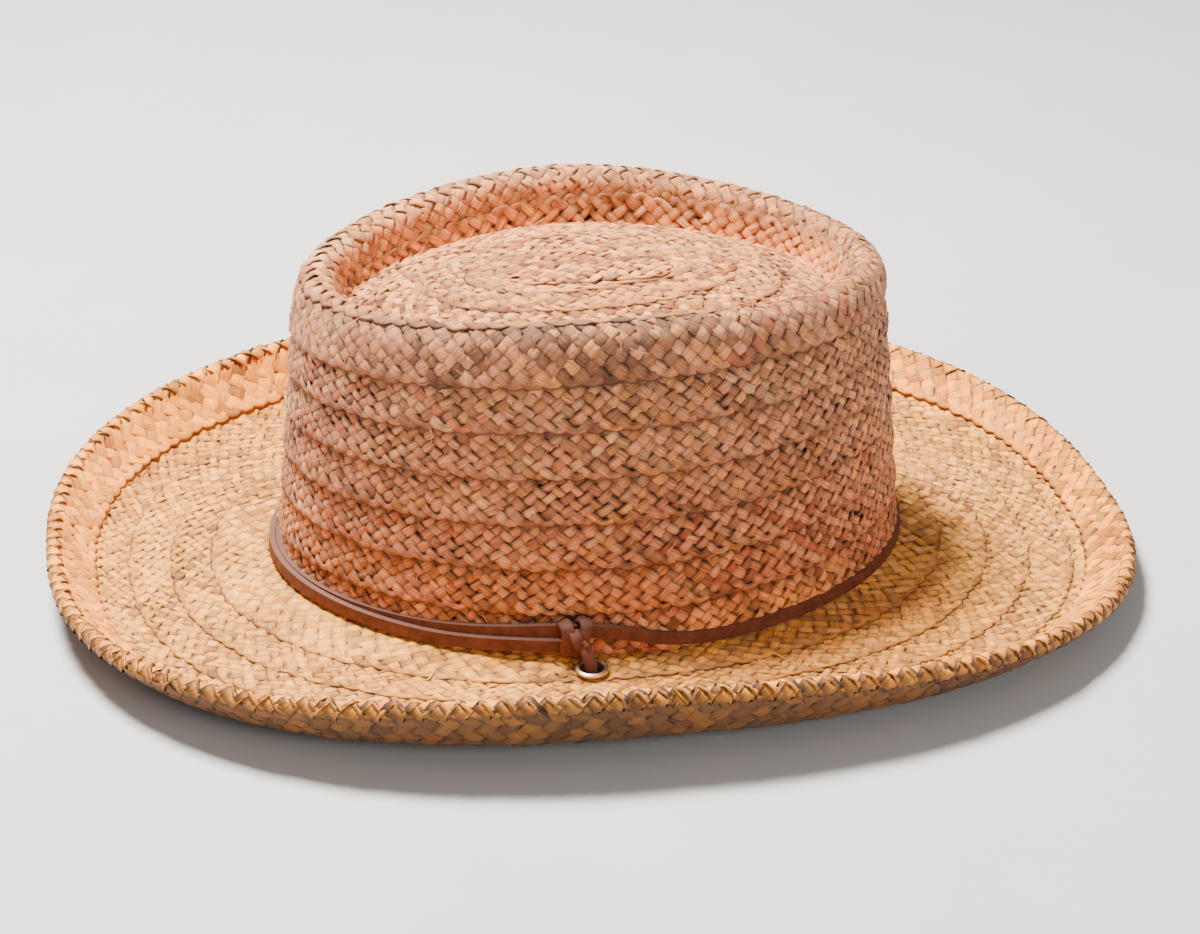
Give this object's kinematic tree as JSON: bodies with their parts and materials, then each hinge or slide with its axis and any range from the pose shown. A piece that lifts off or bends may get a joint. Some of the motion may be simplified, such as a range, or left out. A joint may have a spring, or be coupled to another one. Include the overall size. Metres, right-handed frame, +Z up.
{
  "type": "cowboy hat",
  "caption": "Plaited raffia hat with a flat sunken tip, upright crown, turned-up wired brim, leather lace round the crown and a chin cord with a sliding keeper.",
  "frame": {"origin": "centre of the hat's outline, on the surface the brim stands on", "axes": "+Z up through the crown, -Y towards the front of the hat, +X towards the wearer's left"},
  "size_m": [0.305, 0.3711, 0.1151],
  "materials": {
    "straw_tip": "plaited raffia, matt",
    "straw_crown": "plaited raffia, matt",
    "straw_brim": "plaited raffia, pressed, slight sheen",
    "straw_hem": "plaited raffia, slight sheen",
    "wire": "drawn",
    "sweatband": "woven tape",
    "seam_tape": "woven tape",
    "eyelet_metal": "nickelled, worn",
    "lace_leather": "smooth, cut edges",
    "keeper_leather": "smooth, folded and sewn"
  },
  "bodies": {
    "hat": {"brim_row_1": "straw_brim", "brim_row_2": "straw_brim", "brim_row_3": "straw_brim", "brim_row_4": "straw_brim", "brim_row_5": "straw_brim", "brim_wire": "wire", "chin_cord_left": "lace_leather", "chin_cord_right": "lace_leather", "chin_end_knot": "lace_leather", "crown_rim_row": "straw_crown", "crown_row_1": "straw_crown", "crown_row_2": "straw_crown", "crown_row_3": "straw_crown", "crown_row_4": "straw_crown", "crown_row_5": "straw_crown", "crown_row_6": "straw_crown", "eyelet_left": "eyelet_metal", "eyelet_right": "eyelet_metal", "eyelet_washer_left": "eyelet_metal", "eyelet_washer_right": "eyelet_metal", "hem_braid": "straw_hem", "lace_full_turn": "lace_leather", "lace_half_turn": "lace_leather", "lace_knot_left": "lace_leather", "lace_knot_right": "lace_leather", "sweatband": "sweatband", "sweatband_seam_tape": "seam_tape", "tip_centre_plait": "straw_tip", "tip_row_1": "straw_tip", "tip_row_2": "straw_tip", "tip_row_3": "straw_tip", "tip_side_row": "straw_tip"},
    "keeper": {"chin_keeper": "keeper_leather"}
  },
  "joints": [
    {"name": "keeper_slide", "type": "slide", "parent": "hat", "child": "keeper", "axis": [0, 1, 0], "range_m": [-0.018, 0.018]}
  ]
}
